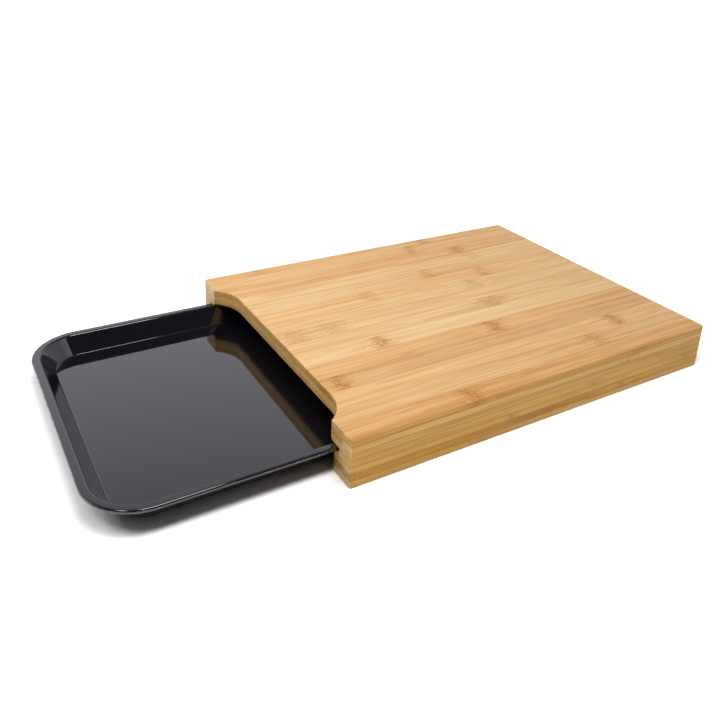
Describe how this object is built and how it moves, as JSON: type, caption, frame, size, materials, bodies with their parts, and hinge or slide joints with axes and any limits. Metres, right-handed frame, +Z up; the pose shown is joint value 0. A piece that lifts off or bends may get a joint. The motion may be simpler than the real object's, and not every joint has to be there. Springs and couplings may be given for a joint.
{
  "type": "cutting board",
  "caption": "Thick laminated bamboo cutting board on rails, with a finger scoop in one end and a shallow black plastic tray that slides out from under it.",
  "frame": {"origin": "on the table, under the middle of the whole object as it stands with its tray drawn out", "axes": "+X from the tray's end towards the board's closed end, along the grain; +Y across the board; +Z up"},
  "size_m": [0.5516, 0.295, 0.041],
  "materials": {
    "bamboo_pale": "oiled satin bamboo, pale strip",
    "bamboo_honey": "oiled satin bamboo, honey strip",
    "bamboo_tan": "oiled satin bamboo, tan strip",
    "bamboo_brown": "oiled satin bamboo, brown strip",
    "black_plastic": "gloss black moulded plastic"
  },
  "bodies": {
    "board": {"core_ply_strip_01": "bamboo_honey", "core_ply_strip_02": "bamboo_honey", "core_ply_strip_03": "bamboo_honey", "core_ply_strip_04": "bamboo_honey", "core_ply_strip_05": "bamboo_honey", "core_ply_strip_06": "bamboo_honey", "core_ply_strip_07": "bamboo_honey", "core_ply_strip_08": "bamboo_honey", "core_ply_strip_09": "bamboo_honey", "core_ply_strip_10": "bamboo_honey", "core_ply_strip_11": "bamboo_honey", "core_ply_strip_12": "bamboo_honey", "core_ply_strip_13": "bamboo_honey", "core_ply_strip_14": "bamboo_honey", "core_ply_strip_15": "bamboo_honey", "far_rail_ply_1": "bamboo_tan", "far_rail_ply_2": "bamboo_brown", "far_rail_ply_3": "bamboo_tan", "far_rail_ply_4": "bamboo_tan", "lower_ply_strip_01": "bamboo_tan", "lower_ply_strip_02": "bamboo_tan", "lower_ply_strip_03": "bamboo_tan", "lower_ply_strip_04": "bamboo_tan", "lower_ply_strip_05": "bamboo_tan", "lower_ply_strip_06": "bamboo_tan", "lower_ply_strip_07": "bamboo_tan", "lower_ply_strip_08": "bamboo_tan", "lower_ply_strip_09": "bamboo_tan", "lower_ply_strip_10": "bamboo_tan", "lower_ply_strip_11": "bamboo_tan", "lower_ply_strip_12": "bamboo_tan", "lower_ply_strip_13": "bamboo_tan", "lower_ply_strip_14": "bamboo_tan", "lower_ply_strip_15": "bamboo_tan", "near_rail_ply_1": "bamboo_tan", "near_rail_ply_2": "bamboo_brown", "near_rail_ply_3": "bamboo_tan", "near_rail_ply_4": "bamboo_tan", "rear_rail_ply_1": "bamboo_tan", "rear_rail_ply_2": "bamboo_brown", "rear_rail_ply_3": "bamboo_tan", "rear_rail_ply_4": "bamboo_tan", "top_ply_strip_01": "bamboo_tan", "top_ply_strip_02": "bamboo_honey", "top_ply_strip_03": "bamboo_pale", "top_ply_strip_04": "bamboo_tan", "top_ply_strip_05": "bamboo_honey", "top_ply_strip_06": "bamboo_pale", "top_ply_strip_07": "bamboo_honey", "top_ply_strip_08": "bamboo_honey", "top_ply_strip_09": "bamboo_pale", "top_ply_strip_10": "bamboo_honey", "top_ply_strip_11": "bamboo_honey", "top_ply_strip_12": "bamboo_pale", "top_ply_strip_13": "bamboo_tan", "top_ply_strip_14": "bamboo_honey", "top_ply_strip_15": "bamboo_tan"},
    "tray": {"tray": "black_plastic"}
  },
  "joints": [
    {"name": "tray_slide", "type": "slide", "parent": "board", "child": "tray", "axis": [-1, 0, 0], "range_m": [-0.1721, 0.2]}
  ]
}
